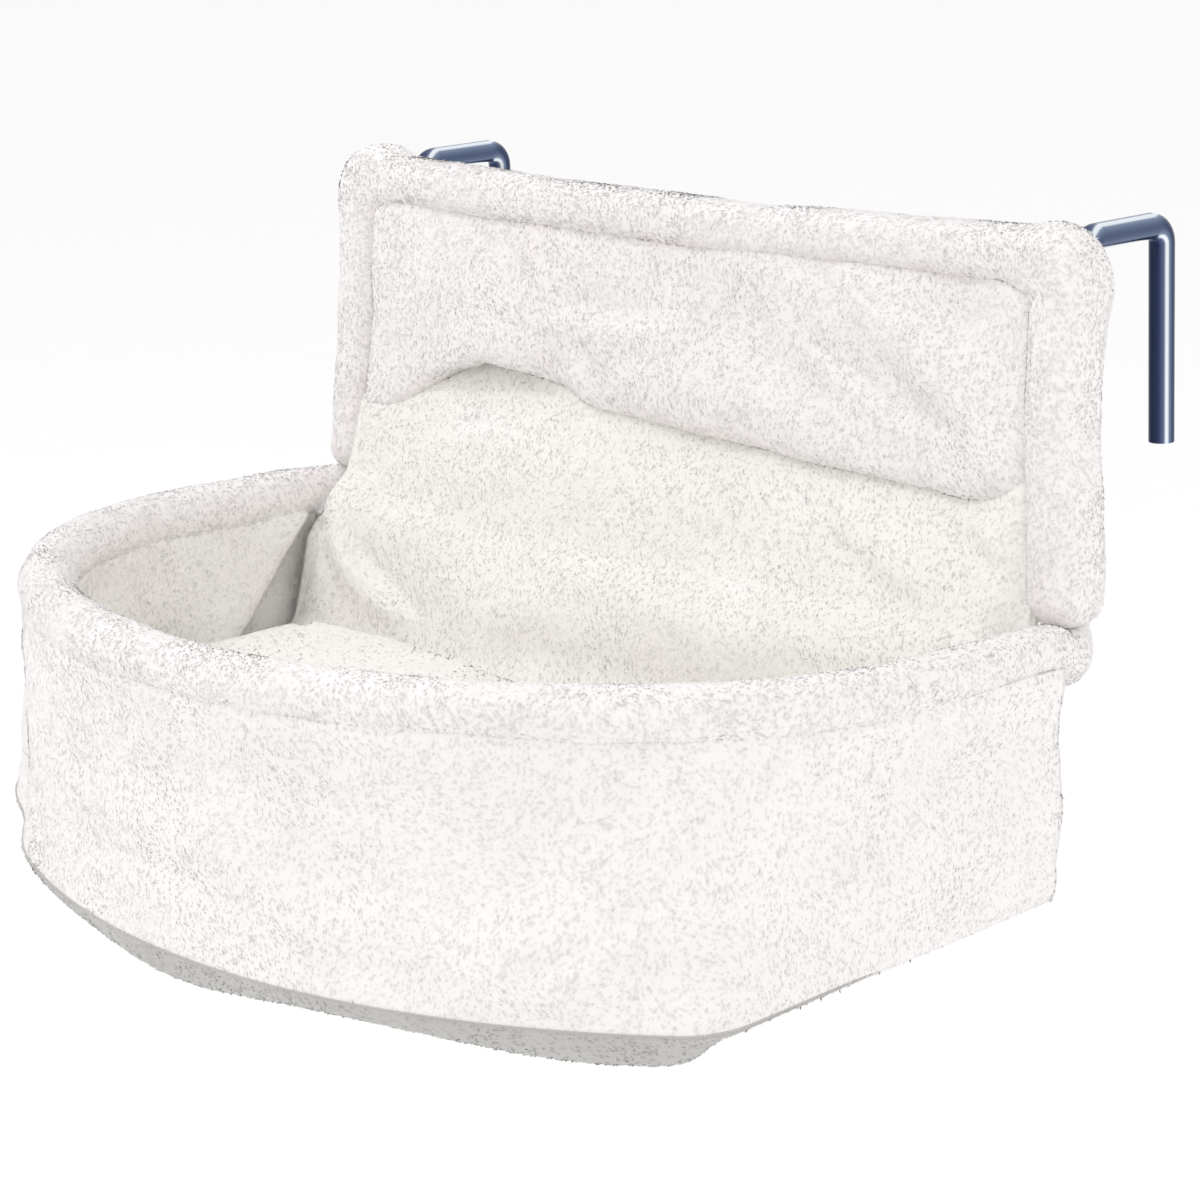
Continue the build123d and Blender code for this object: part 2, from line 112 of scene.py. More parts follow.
def hashed(i, seed):
    """A fixed number from -1 to 1 for each lattice point."""
    i = i.astype(np.int64)
    n = i[..., 0] * 73856093 ^ i[..., 1] * 19349663 ^ i[..., 2] * 83492791 ^ (seed * 97531 + 777)
    n = (n ^ (n >> 13)) * 1274126177 & 0x7FFFFFFF
    n = (n ^ (n >> 15)) * 668265263 & 0x7FFFFFFF
    return n / 0x3FFFFFFF - 1.0


def noise(points, cell, seed):
    """Smooth noise from -1 to 1 on a lattice; cell is one size or one for each axis."""
    q = np.asarray(points, float) / np.asarray(cell, float)
    base = np.floor(q)
    f = q - base
    w = f * f * (3 - 2 * f)
    total = 0
    for corner in range(8):
        c = np.array([corner & 1, corner >> 1 & 1, corner >> 2 & 1])
        share = np.prod(np.where(c, w, 1 - w), axis=-1)
        total = total + share * hashed(base + c, seed)
    return total


def cloud(points, cell, seed, layers=3):
    """Noise in layers, each half as coarse and half as strong as the one before."""
    total = 0
    for k in range(layers):
        total = total + noise(points, np.asarray(cell, float) / 2 ** k, seed + k) / 2 ** k
    return total


def along(points, count):
    """Evenly spaced points on a polyline."""
    points = np.asarray(points, float)
    steps = np.linalg.norm(np.diff(points, axis=0), axis=1)
    length = np.concatenate([[0], np.cumsum(steps)])
    at = np.linspace(0, length[-1], count)
    return np.stack([np.interp(at, length, points[:, k]) for k in range(points.shape[1])], 1)


def softened(points, times=1):
    """A polyline or grid with each row averaged with its neighbours, and its two ends kept."""
    points = np.array(points, float)
    for _ in range(times):
        inner = (points[:-2] + 2 * points[1:-1] + points[2:]) / 4
        points = np.concatenate([points[:1], inner, points[-1:]])
    return points


# Meshes

def make_mesh(name, points, quads, tris=None, normals=None):
    tris = np.zeros((0, 3), int) if tris is None else tris
    mesh = bpy.data.meshes.new(name)
    mesh.vertices.add(len(points))
    mesh.vertices.foreach_set("co", (np.asarray(points) * MM).ravel())
    loops = np.concatenate([quads.ravel(), tris.ravel()])
    starts = np.concatenate([np.arange(len(quads)) * 4, len(quads) * 4 + np.arange(len(tris)) * 3])
    mesh.loops.add(len(loops))
    mesh.loops.foreach_set("vertex_index", loops.astype(np.int32))
    mesh.polygons.add(len(starts))
    mesh.polygons.foreach_set("loop_start", starts.astype(np.int32))
    mesh.update(calc_edges=True)
    mesh.validate()
    mesh.polygons.foreach_set("use_smooth", np.ones(len(mesh.polygons), bool))
    if normals is not None:
        mesh.normals_split_custom_set_from_vertices(normals.tolist())
    obj = bpy.data.objects.new(name, mesh)
    bpy.context.scene.collection.objects.link(obj)
    return obj


def grid_quads(rows, cols, wrap=False, flip=False, offset=0):
    r = np.arange(rows - 1)[:, None]
    c = np.arange(cols if wrap else cols - 1)[None, :]
    d = (c + 1) % cols
    q = np.stack([r * cols + c, r * cols + d, (r + 1) * cols + d, (r + 1) * cols + c], -1)
    q = q.reshape(-1, 4) + offset
    return q[:, ::-1] if flip else q


def grid_normals(p, wrap=False):
    if wrap:
        du = np.roll(p, -1, 1) - np.roll(p, 1, 1)
    else:
        du = np.gradient(p, axis=1)
    return unit(np.cross(np.gradient(p, axis=0), du))


def tube_parts(p):
    """Points and faces of a closed tube whose rows run along it and whose columns go round."""
    rows, cols = p.shape[:2]
    points = np.concatenate([p.reshape(-1, 3), p[0].mean(0)[None], p[-1].mean(0)[None]])
    first = rows * cols
    c = np.arange(cols)
    d = (c + 1) % cols
    low = np.stack([np.full(cols, first), d, c], 1)
    high = np.stack([np.full(cols, first + 1), (rows - 1) * cols + c, (rows - 1) * cols + d], 1)
    return points, grid_quads(rows, cols, wrap=True), np.concatenate([low, high])


def shell_parts(front, back):
    """A closed sheet from its front grid and its back grid."""
    rows, cols = front.shape[:2]
    n = rows * cols
    points = np.concatenate([front.reshape(-1, 3), back.reshape(-1, 3)])
    quads = [grid_quads(rows, cols), grid_quads(rows, cols, flip=True, offset=n)]
    r = np.arange(rows)
    c = np.arange(cols)
    edges = [(c, False), ((rows - 1) * cols + c, True), (r * cols, True), (r * cols + cols - 1, False)]
    for line, turned in edges:
        a, b = line[:-1], line[1:]
        q = np.stack([b, a, a + n, b + n], 1)
        quads.append(q[:, ::-1] if turned else q)
    return points, np.concatenate(quads)


def turned_out(points, quads, tris):
    """The faces of a closed mesh turned outwards, and a normal for each point."""
    every = np.concatenate([quads[:, [0, 1, 2]], quads[:, [0, 2, 3]], tris])
    a, b, c = (points[every[:, k]] - points.mean(0) for k in range(3))
    if (a * np.cross(b, c)).sum() < 0:
        quads, tris, every = quads[:, ::-1], tris[:, ::-1], every[:, ::-1]
        a, c = c, a
    flat = np.cross(b - a, c - a)
    normals = np.zeros_like(points)
    for k in range(3):
        np.add.at(normals, every[:, k], flat)
    return quads, tris, unit(normals)


def tuft_roots(gen, points, normals, quads, count):
    """Points spread evenly over the quads, and the way up from each."""
    t = np.concatenate([quads[:, [0, 1, 2]], quads[:, [0, 2, 3]]])
    a, b, c = (points[t[:, k]] for k in range(3))
    area = np.linalg.norm(np.cross(b - a, c - a), axis=1)
    pick = gen.choice(len(t), count, p=area / area.sum())
    u, v = gen.random((2, count, 1))
    over = (u + v) > 1
    u, v = np.where(over, 1 - u, u), np.where(over, 1 - v, v)
    root = a[pick] + u * (b - a)[pick] + v * (c - a)[pick]
    near = [normals[t[pick, k]] for k in range(3)]
    return root, unit(near[0] * (1 - u - v) + near[1] * u + near[2] * v)


def pile(points, normals, quads, count, nap, seed):
    """Short tapered tufts standing on the quads: their points, faces and normals."""
    gen = np.random.default_rng(seed)
    root, up = tuft_roots(gen, points, normals, quads, count)
    wander = np.stack([cloud(root, PILE_WANDER_CELL, seed + 10 + k, 2) for k in range(3)], 1)
    comb = np.asarray(nap, float) + PILE_WANDER * wander + gen.normal(0, 0.3, root.shape)
    comb = comb - up * (comb * up).sum(1, keepdims=True)
    tall = PILE_LIFT * gen.uniform(0.7, 1.35, (count, 1))
    aim = unit(unit(comb) + up * tall)
    side = unit(np.cross(aim, up))
    size = PILE_LENGTH * gen.uniform(0.6, 1.25, (count, 1))
    half = PILE_HALF_WIDTH * gen.uniform(0.7, 1.3, (count, 1))
    root = root - up * PILE_ROOT
    behind = root - unit(comb) * half * 1.4 + up * 0.1
    tuft = np.stack([root + side * half, root - side * half, behind, root + aim * size], 1)
    base = len(points) + 4 * np.arange(count)[:, None]
    faces = [base + np.array(corners) for corners in ([0, 2, 1], [0, 1, 3], [1, 2, 3], [2, 0, 3])]
    tips = unit(up + 0.1 * aim)
    lit = np.stack([up, up, up, tips], 1)
    return tuft.reshape(-1, 3), np.concatenate(faces), lit.reshape(-1, 3)


def furred(name, points, quads, tris, faces, count, nap, seed):
    """A closed mesh turned outwards, with its pile on the given quads."""
    points = np.asarray(points, float)
    quads, tris, normals = turned_out(points, quads, tris)
    tufts, extra, lit = pile(points, normals, quads[faces], count, nap, seed)
    points = np.concatenate([points, tufts])
    tris = np.concatenate([tris, extra])
    normals = np.concatenate([normals, lit])
    return make_mesh(name, points, quads, tris, normals)


# Places on the panel, the rim and the basket

def panel(x, ahead, below):
    """A point of the leaning panel in the frame's axes."""
    x, ahead, below = np.broadcast_arrays(x, ahead, below)
    y = HOOK_Y - ahead * math.cos(LEAN) - below * math.sin(LEAN)
    z = ARM_Z + ahead * math.sin(LEAN) - below * math.cos(LEAN)
    return np.stack([x, y, z], -1)


def d_shape(half, side_end, front, corner, back):
    """A D-shaped plan: straight sides, two corner arcs and a broad front arc."""
    centre = half - corner
    depth = side_end - front
    radius = (centre ** 2 + depth ** 2 - corner ** 2) / (2 * (depth - corner))
    front_y = front + radius
    meet = math.atan2(side_end - front_y, centre)
    turn = np.linspace(0, meet, 60)
    arc = np.stack([centre + corner * np.cos(turn), side_end + corner * np.sin(turn)], 1)
    turn = np.linspace(meet, -math.pi / 2, 120)[1:]
    far = np.stack([radius * np.cos(turn), front_y + radius * np.sin(turn)], 1)
    right = np.concatenate([[[half, back]], arc, far])
    return np.concatenate([right[:-1] * [-1, 1], right[::-1]])


def rim_line(count, back=SEAM_BACK_Y):
    """Points on the sleeve's middle, from back left round the front to back right."""
    plan = d_shape(RIM_HALF, PIVOT[1] - RIM_STRAIGHT, PIVOT[1] - RIM_REACH, RIM_SIDE_R, back)
    plan = along(plan, 2000)
    x, y = plan[:, 0], plan[:, 1]
    drop = np.where(x < 0, RIM_LEFT_DROP, RIM_RIGHT_DROP) * (1 - ease(0, RIM_DROP_RUN, PIVOT[1] - y))
    z = PIVOT[2] - (y - PIVOT[1]) * RIM_RISE - drop + RIM_TILT * x
    return along(np.stack([x, y, z], 1), count)


def seam_line(count, inset=0.0, back=SEAM_BACK_Y):
    """The basket's bottom seam, from back left round the front to back right."""
    corner = max(SEAM_CORNER - inset, SEAM_MIN_CORNER)
    deeper = max(0.0, inset - SEAM_CORNER + SEAM_MIN_CORNER)
    plan = d_shape(SEAM_HALF - inset, SEAM_SIDE_END + deeper, SEAM_FRONT + inset, corner, back)
    x, y = plan[:, 0], plan[:, 1]
    z = SEAM_BACK_Z + (y - SEAM_BACK_Y) * SEAM_RISE
    dent = 7.0 * hump(x, -180, 30) * ease(-200, -240, y)
    left = 6.0 * ease(-190, -226, x) * ease(-60, -110, y)
    plan = np.column_stack([x + left + 0.66 * dent, y + 0.75 * dent])
    return along(np.column_stack([plan, z]), count)


def at_share(line, share):
    """The places at shares of a polyline's points."""
    s = np.linspace(0, 1, len(line))
    return np.stack([np.interp(share, s, line[:, k]) for k in range(3)], -1)


def seam_share(share):
    """The share of the seam that hangs below a share of the rim."""
    half = 1 - np.abs(share - 0.5) * 2
    rim_shares, seam_shares = [0, 0.34, 0.50, 1], [0, 0.366, 0.433, 1]
    low = np.interp(half, rim_shares, seam_shares)
    return np.where(share < 0.5, low / 2, 1 - low / 2)


def gap_to(p, line):
    """Each point's distance to a polyline in the plane, its side and its share of the way along."""
    line = np.asarray(line, float)
    best = np.full(p.shape[:-1], 1e9)
    side = np.zeros(p.shape[:-1])
    place = np.zeros(p.shape[:-1])
    for k, (a, b) in enumerate(zip(line[:-1], line[1:])):
        ab = b - a
        t = np.clip(((p - a) @ ab) / (ab @ ab), 0, 1)
        off = p - a - t[..., None] * ab
        d = np.linalg.norm(off, axis=-1)
        turn = np.sign(ab[0] * off[..., 1] - ab[1] * off[..., 0])
        nearer = d < best
        best = np.where(nearer, d, best)
        side = np.where(nearer, turn, side)
        place = np.where(nearer, (k + t) / (len(line) - 1), place)
    return best, side, place


def ridges(p, lines):
    """Soft ridges and hollows along lines: each has its width and its height."""
    total = np.zeros(p.shape[:-1])
    for line, width, height in lines:
        total += height * np.exp(-((gap_to(p, line)[0] / width) ** 2))
    return total


def creases(p, lines):
    """Soft tucks along lines: each has its reach, its depth and the side that stands up."""
    total = np.zeros(p.shape[:-1])
    for line, reach, depth, up in lines:
        d, side, place = gap_to(p, line)
        step = np.tanh(d * side * up / (0.4 * reach)) * np.exp(-((d / (1.3 * reach)) ** 2))
        core = np.exp(-((d / (0.5 * reach)) ** 2))
        total += depth * (step - 0.7 * core) * ease(0, 0.3, place) * ease(1, 0.7, place)
    return total


# Finishes

PATCH_SCALE = 22.0
GRAIN_SCALE = 900.0


def material(name, colour, other, roughness=0.85, metallic=0.0, bump=0.25, sheen=0.0):
    """A finish with broad patches between two colours and a fine grain."""
    m = bpy.data.materials.new(name)
    m.use_nodes = True
    tree = m.node_tree
    shader = tree.nodes["Principled BSDF"]
    coords = tree.nodes.new("ShaderNodeTexCoord")
    broad = tree.nodes.new("ShaderNodeTexNoise")
    broad.inputs["Scale"].default_value = PATCH_SCALE
    broad.inputs["Detail"].default_value = 4.0
    ramp = tree.nodes.new("ShaderNodeValToRGB")
    ramp.color_ramp.elements[0].position = 0.3
    ramp.color_ramp.elements[1].position = 0.7
    ramp.color_ramp.elements[0].color = (*other, 1)
    ramp.color_ramp.elements[1].color = (*colour, 1)
    fine = tree.nodes.new("ShaderNodeTexNoise")
    fine.inputs["Scale"].default_value = GRAIN_SCALE
    fine.inputs["Detail"].default_value = 3.0
    relief = tree.nodes.new("ShaderNodeBump")
    relief.inputs["Strength"].default_value = bump
    relief.inputs["Distance"].default_value = 0.001
    link = tree.links.new
    link(coords.outputs["Object"], broad.inputs["Vector"])
    link(coords.outputs["Object"], fine.inputs["Vector"])
    link(broad.outputs["Fac"], ramp.inputs["Fac"])
    link(ramp.outputs["Color"], shader.inputs["Base Color"])
    link(fine.outputs["Fac"], relief.inputs["Height"])
    link(relief.outputs["Normal"], shader.inputs["Normal"])
    shader.inputs["Roughness"].default_value = roughness
    shader.inputs["Metallic"].default_value = metallic
    shader.inputs["Sheen Weight"].default_value = sheen
    shader.inputs["Sheen Roughness"].default_value = 0.6
    return m


plush_outer = material("plush_outer", (0.935, 0.912, 0.905), (0.905, 0.868, 0.86), sheen=0.1)
plush_inner = material("plush_inner", (0.94, 0.925, 0.895), (0.91, 0.89, 0.85), sheen=0.1)
# painted shade: a much darker copy of the outer plush for the bottom cloth, standing in for the shade under
# the basket
plush_painted_shade = material("plush_painted_shade", (0.56, 0.55, 0.53), (0.50, 0.49, 0.47), sheen=0.1)
plain_cloth = material("back_cloth", (0.74, 0.73, 0.71), (0.70, 0.69, 0.67), sheen=0.1, bump=0.4)
tape_cloth = material("tape", (0.75, 0.75, 0.74), (0.68, 0.68, 0.67), bump=0.8)
dull_steel = material("strap_steel", (0.5, 0.51, 0.53), (0.42, 0.43, 0.45),
                      roughness=0.4, metallic=1.0, bump=0.08)
zinc = material("fastener_steel", (0.6, 0.6, 0.58), (0.5, 0.5, 0.48),
                roughness=0.35, metallic=1.0, bump=0.08)


def steel_with_painted_reflection():
    """Tube steel with a painted reflection: its colour runs round the tube as a painted dark room with one
    bright window mirrored in it.

    The painted colours follow the surface's turn towards the camera's right, halved and shifted
    so that it runs from 0 to 1.
    """
    m = material("tube_steel", (0.1, 0.1, 0.1), (0.1, 0.1, 0.1), roughness=0.2, metallic=1.0, bump=0.02)
    tree = m.node_tree
    coords = tree.nodes.new("ShaderNodeTexCoord")
    across = tree.nodes.new("ShaderNodeVectorMath")
    across.operation = "DOT_PRODUCT"
    across.inputs[1].default_value = (0.3285, 0.3765, -0.02)
    middle = tree.nodes.new("ShaderNodeMath")
    middle.inputs[1].default_value = 0.5
    ramp = tree.nodes.new("ShaderNodeValToRGB")
    # painted reflection: dark navy bands round the tube and one painted bright highlight stripe
    stops = [
        (0.0, 0.02, 0.03, 0.07), (0.36, 0.05, 0.07, 0.15), (0.5, 0.11, 0.14, 0.24),
        (0.55, 0.3, 0.36, 0.47), (0.58, 0.85, 0.9, 0.95), (0.68, 0.8, 0.85, 0.92),
        (0.72, 0.22, 0.28, 0.4), (0.86, 0.05, 0.07, 0.14), (1.0, 0.02, 0.03, 0.07),
    ]
    for k, (place, *colour) in enumerate(stops):
        mark = ramp.color_ramp.elements[k] if k < 2 else ramp.color_ramp.elements.new(place)
        mark.position = place
        mark.color = (*colour, 1)
    tree.links.new(coords.outputs["Normal"], across.inputs[0])
    tree.links.new(across.outputs["Value"], middle.inputs[0])
    tree.links.new(middle.outputs["Value"], ramp.inputs["Fac"])
    tree.links.new(ramp.outputs["Color"], tree.nodes["Principled BSDF"].inputs["Base Color"])
    return m


def dress(obj, finish, slot, body, *nodes):
    """The piece's one finish, the body it rides on and the nodes it stands for; the slot is not used."""
    obj.data.materials.clear()
    obj.data.materials.append(finish)
    if body:
        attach(obj, body)
    if nodes:
        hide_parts(*nodes)
    return obj


# The panel's stuffed roll

def tube_round(centre, ahead, size, square=1.0):
    """A grid of rings round a line: out from the line's middle, and ahead of it."""
    way = unit(np.gradient(centre, axis=0))
    out = unit(np.cross(way, ahead))
    over = unit(np.cross(out, way))
    turn = np.linspace(0, 2 * math.pi, RING_POINTS, endpoint=False)
    c, s = (np.sign(q) * np.abs(q) ** square for q in (np.cos(turn), np.sin(turn)))
    ring = c[None, :, None] * out[:, None] + s[None, :, None] * over[:, None]
    return ring, centre[:, None] + ring * size[..., None]


def round_ends(rows, step, reach):
    """The share of its size that each ring keeps, so that both ends close in a dome."""
    end = np.minimum(np.arange(rows), rows - 1 - np.arange(rows)) * step
    return np.sqrt(np.clip(1 - (1 - np.clip(end / reach, 0, 1)) ** 2, 0.02, 1))


def border_path():
    """The roll's middle, up the left side, along the sagging top and down the right side."""
    foot, top, reach = 142.0, 22.0, 14.0
    turn = np.linspace(0.1, math.pi / 2, 9)
    side = -BORDER_X - 0.5
    corner = np.stack([-BORDER_X + reach - 14.5 * np.cos(turn), top - reach * np.sin(turn)], 1)
    left = np.concatenate([[(side, foot), (side, 60.0), (side, top)], corner])
    path = softened(along(np.concatenate([left, left[::-1] * [-1, 1]]), 420), 4)
    x, below = path[:, 0], path[:, 1]
    dip = np.interp(x, [-205, -185, -105, 44, 89, 132, 173, 205], [0, 2, 4, 4.4, 3, 1.9, 1.3, 0])
    below = below + np.where(below < 30, dip - 2.6 * ease(198, 180, np.abs(x)), 0)
    spread = np.where(x > 0, 0.3 + 7.0 * ease(50, 132, below), -2.5 * ease(60, 132, below))
    return x + spread * ease(10, 30, below), below


def panel_border():
    x, below = border_path()
    centre = panel(x, BORDER_AHEAD, below)
    ahead = unit(panel(0, 1, 0) - panel(0, 0, 0))
    size = np.full((len(x), 1), BORDER_R - 0.8)
    ring, p = tube_round(centre, ahead, size, 0.78)
    size = size + 0.9 * noise(p, 42.0, 5) + 0.45 * noise(p, 14.0, 6)
    round_way = np.cos(np.linspace(0, 2 * math.pi, RING_POINTS, endpoint=False))
    corner_lump = (5.5 * hump(x, -205, 16) + 4.5 * hump(x, 207, 14)) * hump(below, 10, 13)
    size = size + corner_lump[:, None] * np.clip(-round_way, 0, 1)[None]
    size = size * round_ends(len(x), 1.9, 13)[:, None]
    size = size * (1 - 0.2 * (ease(198, 180, np.abs(x)) * (below < 30))[:, None] * round_way[None] ** 2)
    p = centre[:, None] + ring * size[..., None]
    points, quads, tris = tube_parts(p)
    obj = furred("panel_border", points, quads, tris, np.arange(len(quads)),
                 count=40000, nap=(0, -0.2, -1), seed=3)
    dress(obj, plush_outer, "plush_outer", "frame", "top_border", "left_border", "right_border")


# The panel's face, down to its broad V-shaped fold

FOLD = [(-206, 108), (-172, 105), (-148, 93), (-134, 85), (-107, 77), (-80, 80), (-60, 85),
        (-21, 90), (28, 92), (86, 94), (140, 97), (178, 98), (206, 90)]


def fold_below(x):
    """How far down the panel the fold lies."""
    line = softened(along(FOLD, 120), 5)
    return np.interp(x, line[:, 0], line[:, 1])


def pocket(x):
    """How deep the fold is tucked in under the face, from 0 to about 1."""
    return (1.0 * hump(x, -110, 42) + 0.35 * ease(-70, 0, x)) * ease(200, 168, np.abs(x))


def profile(stops, rows, soft):
    """A grid through stops, each an array of points over the columns."""
    stops = np.stack([np.asarray(s) for s in stops])
    lengths = np.linalg.norm(np.diff(stops, axis=0), axis=-1).mean(1)
    at = np.concatenate([[0], np.cumsum(lengths)])
    share = np.linspace(0, at[-1], rows)
    k = np.clip(np.searchsorted(at, share, side="right") - 1, 0, len(stops) - 2)
    t = ((share - at[k]) / lengths[k])[:, None, None]
    return softened(stops[k] * (1 - t) + stops[k + 1] * t, soft)


def sheet_piece(name, p, normals, thickness, finish, slot, body, nodes, seed, nap, tufts):
    """A closed soft sheet from its front grid, with its pile, standing for CAD nodes."""
    points, quads = shell_parts(p, p - normals * thickness)
    count = (p.shape[0] - 1) * (p.shape[1] - 1)
    obj = furred(name, points, quads, np.zeros((0, 3), int), np.arange(count), tufts, nap, seed=seed)
    return dress(obj, finish, slot, body, *nodes)


# Ridges and hollows as points (x, below), width and height; creases as points, reach, depth and side
PANEL_RIDGES = [
    ([(-60, 59), (-53, 70), (-42, 86), (-24, 97)], 7.0, 2.6),
    ([(-40, 62), (-34, 68)], 6.5, 3.2),
    ([(106, 25), (134, 47), (149, 59)], 8.0, 2.4),
    ([(140, 38), (152, 50), (170, 68), (187, 83)], 8.0, 3.0),
    ([(-64, 60), (-24, 58), (12, 55)], 8.0, 1.8),
    ([(-150, 60), (-110, 50), (-75, 56)], 20.0, 2.4),
    ([(-20, 70), (50, 78), (110, 84)], 14.0, 2.6),
    ([(156, 30), (190, 44), (204, 60)], 14.0, -3.2),
    ([(-175, 40), (-150, 90)], 13.0, -2.0),
    ([(40, 45), (80, 66), (120, 84)], 12.0, -1.6),
]
PANEL_CREASES = [
    ([(70, 40), (97, 55), (136, 71), (156, 78)], 9.0, 1.8, 1),
    ([(-66, 56), (-52, 51), (-26, 52), (12, 49)], 7.0, 1.5, 1),
    ([(-72, 66), (-62, 82), (-40, 96)], 7.0, 1.2, -1),
    ([(118, 50), (140, 66), (165, 84)], 8.0, 1.0, 1),
]
PANEL_LEFT = -207
PANEL_RIGHT = 209


def panel_face():
    x = np.linspace(PANEL_LEFT, PANEL_RIGHT, 230)
    fb = fold_below(x)
    deep = pocket(x)
    calm = ease(-160, -188, x)

    def at(ahead, below):
        return np.stack([x, x * 0 + ahead, x * 0 + below], -1)

    stops = [
        at(14, 8), at(23, 11), at(27.5, 16), at(29.5, 24), at(30 + deep, 0.5 * (45 + fb)),
        at(31 + 2 * deep, fb - 12), at(31 + 3.5 * deep, fb - 4), at(28 + 6 * deep + 3.5 * calm, fb + 1),
        at(23 + 3 * deep + 6 * calm, fb + 1.6), at(18 + 4 * calm, fb - 1), at(10, fb - 5),
    ]
    flat = profile(stops, 92, 4)
    edge = np.minimum(x - PANEL_LEFT, PANEL_RIGHT - x)
    tuck = 7 * (1 - ease(3, 16, edge))
    place = flat[..., [0, 2]]
    p = panel(flat[..., 0], np.maximum(flat[..., 1] - tuck[None], 6), flat[..., 2])
    up = grid_normals(p)
    lump = 1.4 * cloud(p, (60, 60, 34), 21, 2) + 0.5 * noise(p, 11.0, 12)
    lump = lump + ridges(place, PANEL_RIDGES) + creases(place, PANEL_CREASES)
    rows = np.linspace(0, 1, len(p))[:, None]
    p = p + up * (lump * ease(0, 14, edge)[None] * ease(0.04, 0.16, rows) * ease(0.93, 0.8, rows))[..., None]
    sheet_piece("panel_face", p, grid_normals(p), FACE_CLOTH, plush_outer, "plush_outer", "frame",
                ["panel_front_cloth", "panel_wadding"], seed=4, nap=(0, -0.2, -1), tufts=27000)


# From under the fold, over the ridge and down to the basket's floor

BACK_RIDGES = [
    ([(-192, -142), (-186, -157), (-176, -168), (-160, -176), (-140, -180)], 7.0, 3.0),
    ([(-130, -146), (-100, -162), (-60, -176)], 13.0, 2.5),
    ([(-20, -150), (60, -156), (150, -150)], 9.0, 2.4),
    ([(-60, -182), (20, -186), (100, -182)], 13.0, -5.0),
]
BACK_CREASES = [
    ([(-183, -143), (-172, -160), (-153, -168), (-132, -176), (-115, -181)], 7.0, 2.6, -1),
    ([(96, -108), (130, -120), (178, -134)], 10.0, 2.0, 1),
    ([(160, -98), (190, -108), (204, -114)], 8.0, 1.4, 1),
]
BACK_LEFT = -211
BACK_RIGHT = 212
RIDGE_LINE = [(BACK_LEFT, -140), (-187, -140), (-126, -144), (-78, -146.5), (-38, -146), (48, -142),
              (133, -139), (BACK_RIGHT, -138)]


def basket_back():
    x = np.linspace(BACK_LEFT, BACK_RIGHT, 232)
    fb = fold_below(x)
    line = softened(along(RIDGE_LINE, 80), 4)
    ridge_z = np.interp(x, line[:, 0], line[:, 1])

    def at(y, z):
        return np.stack([x, x * 0 + y, x * 0 + z], -1)

    deep = pocket(x)
    stops = [
        panel(x, 20.0 - 4 * deep, fb - 9), panel(x, 29.0 - 15 * deep, fb - 4),
        panel(x, 31.0 - 12 * deep, fb + 3), panel(x, 33.5 - 8 * deep, fb + 14), panel(x, 37.5, fb + 32),
        at(-80, ridge_z + 5.5), at(-85, ridge_z), at(-88.5, ridge_z - 8),
        at(-93, -164), at(-97, -180), at(-101, -194), at(-112, -204),
    ]
    p = profile(stops, 104, 5)
    edge = np.minimum(x - BACK_LEFT, BACK_RIGHT - x)
    place = p[..., [0, 2]]
    lump = 1.2 * cloud(p, (70, 40, 40), 31, 2) + 0.5 * noise(p, 11.0, 34)
    lump = lump + ridges(place, BACK_RIDGES) + creases(place, BACK_CREASES)
    tuck = (10 - 7 * ease(-142, -160, p[..., 2])) * (1 - ease(1, 16, edge))[None]
    rows = np.linspace(0, 1, len(p))[:, None]
    p = p + grid_normals(p) * (lump * ease(0, 10, edge)[None] * ease(0.0, 0.15, rows) - tuck)[..., None]
    obj = sheet_piece("basket_back", p, grid_normals(p), FACE_CLOTH, plush_inner, "plush_inner", None,
                      ["hinge_cloth", "back_lining", "back_wadding"], seed=5, nap=(0, -0.3, -1), tufts=25000)
    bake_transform(obj)


# The rim's stuffed sleeve, with its loose ends tucked in beside the panel

SLEEVE_TAIL = np.array([(-224.5, -66, -143.5), (-218, -55, -142), (-209, -45, -140), (-203, -38, -139)])


def rim_sleeve():
    line = rim_line(500, back=-74.0)
    line = np.concatenate([SLEEVE_TAIL[::-1], line, SLEEVE_TAIL * [-1, 1, 1]])
    line = softened(along(line, 560), 10)
    up = np.array([0, 0, 1.0])
    edge = np.minimum(np.arange(len(line)), len(line) - 1 - np.arange(len(line)))
    right = (line[:, 0] > 0) * ease(-150, -95, line[:, 1])
    size = (SLEEVE_R + 0.4 * hump(edge, 52, 20) - 1.2 * ease(30, 2, edge) - 1.3 * right)[:, None]
    ring, p = tube_round(line, up, size)
    size = size + 0.8 * noise(p, 46.0, 41) + 0.45 * noise(p, 15.0, 42)
    size = size * round_ends(len(line), 1.45, 10)[:, None]
    p = line[:, None] + ring * size[..., None]
    points, quads, tris = tube_parts(p)
    obj = furred("plush_sleeve", points, quads, tris, np.arange(len(quads)),
                 count=37000, nap=(0, 0, -1), seed=6)
    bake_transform(obj)
    dress(obj, plush_outer, "plush_outer", None, "rim_sleeve", "left_corner_sleeve", "right_corner_sleeve")


# The wall's outer cloth and lining

def wall_lines(cols):
    """Matching points on the rim and on the bottom seam, and the way out from each."""
    share = np.linspace(0, 1, cols)
    rim = rim_line(1600)
    seam = seam_line(1600)
    top = at_share(rim, share)
    foot = at_share(seam, seam_share(share))
    way = unit(np.gradient(top, axis=0))
    out = unit(np.cross(way, [0, 0, 1.0]))
    out = out * np.sign(out[len(out) // 2] @ [0, -1.0, 0])
    return top, foot, softened(out, 8), share


